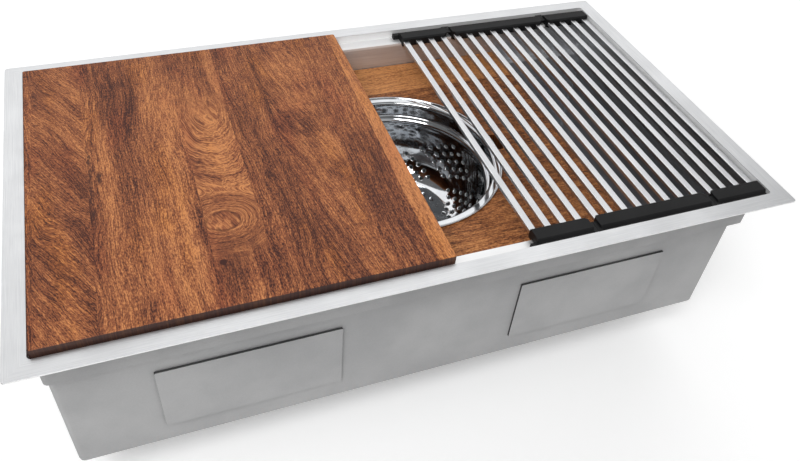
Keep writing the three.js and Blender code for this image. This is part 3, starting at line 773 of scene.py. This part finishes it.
def holedDisc(bm, rim, height, rings, holeRadius, centre):
    # fills a loop of edges and leaves round holes in it, rings are (radius, count)
    edges = list(rim)
    for ringRadius, count in rings:
        for i in range(count):
            angle = 2 * math.pi * i / count
            x, y = centre[0] + ringRadius * math.cos(angle), centre[1] + ringRadius * math.sin(angle)
            circle = bmesh.ops.create_circle(bm, cap_ends=False, radius=holeRadius * mm, segments=12,
                                             matrix=Matrix.Translation(Vector((x, y, height)) * mm))
            edges += {edge for vert in circle["verts"] for edge in vert.link_edges}
    bmesh.ops.triangle_fill(bm, use_beauty=True, use_dissolve=False, edges=edges, normal=(0, 0, 1))


basketSpec = {
    "top": drainSpec["floorTop"] - 2.2, "deep": 24, "sheet": 1.15,
    "holeRings": ((15, 8), (25.2, 14)), "hole": 2.6,
    "post": 4, "postDown": 3.5, "gap": 0.3,
}


def makeBasket():
    b = basketSpec
    top, under = b["top"], b["top"] - b["deep"]
    rim = [
        (29, under), (29.8, under), (32.2, under + 1.2), (33.8, under + 3), (36.2, top - 12),
        (38.2, top - 6.5), (39.0, top - 3), (39.6, top - 1.6), (40.4, top - 1.2), (41.7, top - 1.2),
    ]
    bm = spunMesh(rim, drainCentre, 72)
    inner = [edge for edge in bm.edges
             if len(edge.link_faces) == 1 and edge.verts[0].co.z < (under + 0.5) * mm]
    holedDisc(bm, inner, under, b["holeRings"], b["hole"], drainCentre)
    bmesh.ops.recalc_face_normals(bm, faces=bm.faces[:])
    shadeByAngle(bm, 50)
    cup = placePiece("basketCup", bm, [polishedSteel], "basket", ["basket_cup"])
    wall = cup.modifiers.new("wall", "SOLIDIFY")
    wall.thickness = b["sheet"] * mm
    wall.offset = -1
    postTop, wide = top - b["postDown"], b["post"]
    post = [
        (0, under + 0.6), (wide, under + 0.6), (wide, postTop - 0.4), (wide - 0.4, postTop), (0, postTop),
    ]
    bm = spunMesh(post, drainCentre, 32)
    shadeByAngle(bm, 35)
    piece = placePiece("basketPost", bm, [polishedSteel], "basket", ["basket_cup"])
    weighNormals(piece)
    low = postTop + b["gap"]
    knob = [
        (0, low), (5, low), (7.6, low + 1.3), (8.8, low + 2.7), (9, low + 4.3), (8.8, low + 5.9),
        (8.2, low + 6.8), (7.2, low + 7.3), (5.4, low + 7.1), (0, low + 6.9),
    ]
    turnedPiece("basket_knob", "basketKnob", "basket", knob, polishedSteel, False, 64)
    high = under - b["gap"]
    plug = [
        (0, high - 7), (15.2, high - 7), (16.4, high - 6.7), (21.4, high - 3.6), (22, high - 2.8),
        (22, high - 0.6), (21.4, high), (0, high),
    ]
    turnedPiece("basket_stopper", "basketStopper", "basket", plug, drainRubber, False, 64)


makeBasket()
print("drain and basket placed")


# colander: a spun sheet, ten diamonds of punched holes in two rows, a rolled bead round the rim
colanderSpec = {
    "centre": (22.8, 0, -45.4), "sheet": 1.15, "bulge": 2.3,
    "baseRadius": 66, "depth": 102, "cupRadius": 111.5, "cupTop": -26,
    "columns": 60, "start": -1.0, "rowStep": 6.0, "firstRow": 65.0, "rows": 15, "rowReach": 1.5,
    "hole": 5.7, "punchMargin": 0.28, "diamonds": 5, "diamondReach": 4,
    "diamondRows": ((26, 10), (-10, 4)),        # first diamond's angle in degrees, its middle row
    "baseHoles": ((13, 6), (26, 12)), "baseHole": 2.7, "baseFlat": 8, "baseFill": 3,
    "bead": 1.4, "beadRadius": 127.75, "beadHeight": 1.42,
}


def colanderWall():
    # superellipse from the base's edge up to the step, as fine points
    c = colanderSpec
    points = [(c["baseRadius"] - c["baseFlat"], -c["depth"])]
    steps = 120
    for i in range(steps + 1):
        angle = math.pi / 2 * i / steps
        out = math.sin(angle) ** (2 / c["bulge"])
        down = math.cos(angle) ** (2 / c["bulge"])
        points.append((c["baseRadius"] + (c["cupRadius"] - c["baseRadius"]) * out,
                       c["cupTop"] - (c["depth"] + c["cupTop"]) * down))
    return points


def pointAt(points, distance, travelled):
    for (r0, z0), (r1, z1) in zip(points, points[1:]):
        step = math.hypot(r1 - r0, z1 - z0)
        if travelled + step >= distance and step > 0:
            share = (distance - travelled) / step
            return (r0 + (r1 - r0) * share, z0 + (z1 - z0) * share)
        travelled += step
    return points[-1]


def facesToPunch(bm, rowEdges):
    c = colanderSpec
    pitch, column = 360 / c["diamonds"], 360 / c["columns"]
    found = []
    for face in bm.faces:
        centre = face.calc_center_median() / mm - Vector(c["centre"])
        radius = math.hypot(centre.x, centre.y)
        angle = math.degrees(math.atan2(centre.y, centre.x))
        for row, ((r0, z0), (r1, z1)) in enumerate(zip(rowEdges, rowEdges[1:])):
            if math.hypot(radius - (r0 + r1) / 2, centre.z - (z0 + z1) / 2) > c["rowReach"]:
                continue
            for first, middleRow in c["diamondRows"]:
                turn = round(((angle - first + pitch / 2) % pitch - pitch / 2) / column)
                rise = row - middleRow
                if (turn + rise) % 2 == 0 and abs(turn) + abs(rise) <= c["diamondReach"]:
                    found.append(face)
    return found


def widenHole(bm, face):
    # the columns widen upwards, so each hole is brought to one width
    centre = face.calc_center_median()
    out = centre - Vector(colanderSpec["centre"]) * mm
    tangent = Vector((-out.y, out.x, 0)).normalized()
    basis = Matrix((tangent, face.normal, tangent.cross(face.normal))).transposed().to_4x4()
    wide = max(abs((vertex.co - centre).dot(tangent)) for vertex in face.verts) * 2 / mm
    space = (Matrix.Translation(centre) @ basis).inverted()
    bmesh.ops.scale(bm, vec=(colanderSpec["hole"] / wide, 1, 1), space=space, verts=face.verts)


def makeColander():
    c = colanderSpec
    cx, cy, cz = c["centre"]
    wall = colanderWall()
    rowEdges = [pointAt(wall, c["firstRow"] + i * c["rowStep"], c["baseRadius"] - c["baseFlat"])
                for i in range(c["rows"] + 1)]
    step = [
        (111.3, -29), (111.5, -26.2), (112.0, -24.3), (113.4, -22.8), (115.2, -21.9), (116.9, -21.0),
        (117.9, -19.6), (118.2, -17.6), (118.2, -9), (118.2, -2.4), (118.5, -0.9), (119.4, -0.1),
        (121, 0.15), (124, 0.15), (127.6, 0.15),
    ]
    base = (c["baseRadius"] - c["baseFill"], -c["depth"])
    bm = spunMesh([base] + rowEdges + step, c["centre"], c["columns"], start=c["start"])
    holes = facesToPunch(bm, rowEdges)
    bmesh.ops.inset_individual(bm, faces=holes, thickness=c["punchMargin"] * mm, use_even_offset=True)
    for face in holes:
        widenHole(bm, face)
    bmesh.ops.delete(bm, geom=holes, context="FACES_ONLY")
    rim = [edge for edge in bm.edges if len(edge.link_faces) == 1 and all(
        math.hypot(v.co.x - cx * mm, v.co.y - cy * mm) < (base[0] + 0.1) * mm for v in edge.verts)]
    holedDisc(bm, rim, cz - c["depth"], c["baseHoles"], c["baseHole"], c["centre"])
    bmesh.ops.recalc_face_normals(bm, faces=bm.faces[:])
    for face in bm.faces:
        face.smooth = True
    steels = [polishedSteel, punchedEdge]
    piece = placePiece("colanderBowl", bm, steels, "colander", ["colander"])
    sheet = piece.modifiers.new("sheet", "SOLIDIFY")
    sheet.thickness = c["sheet"] * mm
    sheet.offset = -1
    sheet.material_offset_rim = 1
    fine = piece.modifiers.new("fine", "SUBSURF")
    fine.levels = 1
    fine.render_levels = 1
    bead = []
    for i in range(12):
        angle = i * math.pi / 6
        radius = c["beadRadius"] + c["bead"] * math.cos(angle)
        bead.append((radius, c["beadHeight"] + c["bead"] * math.sin(angle)))
    bm = spunMesh(bead, c["centre"], 120, closed=True)
    for face in bm.faces:
        face.smooth = True
    placePiece("colanderBead", bm, [polishedSteel], "colander", ["colander"])
    return len(holes)


print("colander placed,", makeColander(), "holes in its wall")


# floor, lights and camera
floorSpec = {
    "size": 14.0, "under": 0.0006, "lift": 0.16, "near": 0.75, "far": 2.6,
    "light": (252, 252, 252), "dull": (250, 250, 250),
}


def setStage():
    low = cadBounds[0][2] - floorSpec["under"]
    bm = bmesh.new()
    bmesh.ops.create_grid(bm, x_segments=2, y_segments=2, size=floorSpec["size"] / 2,
                          matrix=Matrix.Translation((0, 0, low)))
    mesh = bpy.data.meshes.new("studioFloor")
    bm.to_mesh(mesh)
    bm.free()
    material, tree, shader, place = newMaterial("studioFloor", Roughness=0.9, Specular_IOR_Level=0.1)
    shader.inputs["Emission Color"].default_value = (1, 1, 1, 1)
    # seen directly, the floor glows towards white with its distance
    away = addNode(tree, "VectorMath", {0: place["Object"]}, operation="LENGTH").outputs["Value"]
    glow = remap(tree, away, floorSpec["near"], floorSpec["far"], floorSpec["lift"], 1.0)
    seen = addNode(tree, "LightPath").outputs["Is Camera Ray"]
    tree.links.new(calc(tree, "MULTIPLY", seen, glow), shader.inputs["Emission Strength"])
    clouds = noise(tree, place["Object"], 3.0)
    tone = toneMix(tree, clouds, floorSpec["light"], floorSpec["dull"])
    tree.links.new(tone, shader.inputs["Base Color"])
    mesh.materials.append(material)
    floor = bpy.data.objects.new("studioFloor", mesh)
    bpy.context.scene.collection.objects.link(floor)


setStage()

lampSpec = {
    "key": {"at": (-1.0, -1.4, 2.2), "size": (1.4, 1.4), "power": 55},
    "softbox": {"at": (0.5, 2.15, 2.1), "size": (5.2, 2.9), "power": 54},
}
for name, spec in lampSpec.items():
    lamp = bpy.data.lights.new(name, "AREA")
    lamp.shape = "RECTANGLE"
    lamp.size, lamp.size_y = spec["size"]
    lamp.energy = spec["power"]
    lampObject = bpy.data.objects.new(name, lamp)
    lampObject.location = spec["at"]
    lampObject.rotation_euler = (-Vector(spec["at"])).to_track_quat("-Z", "Y").to_euler()
    bpy.context.scene.collection.objects.link(lampObject)

worldSpec = {
    "sky": (0.19, 0.34), "mirrored": (0.045, 0.17), "horizon": (0.15, 0.8),
    "wall": 0.55, "wallTowards": (0.6, -0.8), "wallEdge": (0.15, 0.7),
}


def grey(value):
    return (value, value, value, 1)


def setWorld():
    # polished steel mirrors a darker studio, with a pale wall to the front and right
    w = worldSpec
    world = bpy.data.worlds.new("studio")
    bpy.context.scene.world = world
    world.use_nodes = True
    tree = world.node_tree
    background = tree.nodes["Background"]
    background.inputs["Strength"].default_value = 1.0
    direction = axesOf(tree, addNode(tree, "TexCoord").outputs["Generated"])
    upward = remap(tree, direction[2], *w["horizon"])
    sky = mixColour(tree, upward, grey(w["sky"][0]), grey(w["sky"][1]))
    mirrored = mixColour(tree, upward, grey(w["mirrored"][0]), grey(w["mirrored"][1]))
    wallX, wallY = w["wallTowards"]
    wallward = calc(tree, "MULTIPLY", direction[1], wallY)
    wallward = calc(tree, "MULTIPLY_ADD", direction[0], wallX, wallward)
    mirrored = mixColour(tree, remap(tree, wallward, *w["wallEdge"]), mirrored, grey(w["wall"]))
    rays = addNode(tree, "LightPath").outputs
    seen = mixColour(tree, rays["Is Glossy Ray"], sky, mirrored)
    tree.links.new(mixColour(tree, rays["Is Camera Ray"], seen, grey(1)), background.inputs["Color"])


setWorld()

# fitted to the photograph's straight edges, in pixels of an 800 by 461 picture
cameraSpec = {
    "focal": 760.18, "centre": (399.94, 206.66), "place": (-0.2689, -0.6758, 0.55641),
    "right": (0.937413, -0.340507, 0.072882), "down": (-0.182885, -0.659534, -0.729087),
    "forward": (0.296328, 0.670127, -0.680529), "width": 800, "height": 461, "sensor": 36.0,
}


def setCamera():
    c = cameraSpec
    data = bpy.data.cameras.new("viewCamera")
    data.sensor_fit = "HORIZONTAL"
    data.sensor_width = c["sensor"]
    data.lens = c["focal"] / c["width"] * c["sensor"]
    data.shift_x = (c["width"] / 2 - c["centre"][0]) / c["width"]
    data.shift_y = (c["centre"][1] - c["height"] / 2) / c["width"]
    data.clip_start = 0.02
    data.clip_end = 60
    camera = bpy.data.objects.new("viewCamera", data)
    bpy.context.scene.collection.objects.link(camera)
    upwards, backwards = -Vector(c["down"]), -Vector(c["forward"])
    turn = Matrix((c["right"], upwards, backwards)).transposed()
    camera.matrix_world = Matrix.Translation(c["place"]) @ turn.to_4x4()
    bpy.context.scene.camera = camera


setCamera()
bpy.context.scene.view_settings.view_transform = "Standard"
print("stage, lamps and camera set")

bpy.context.view_layer.update()
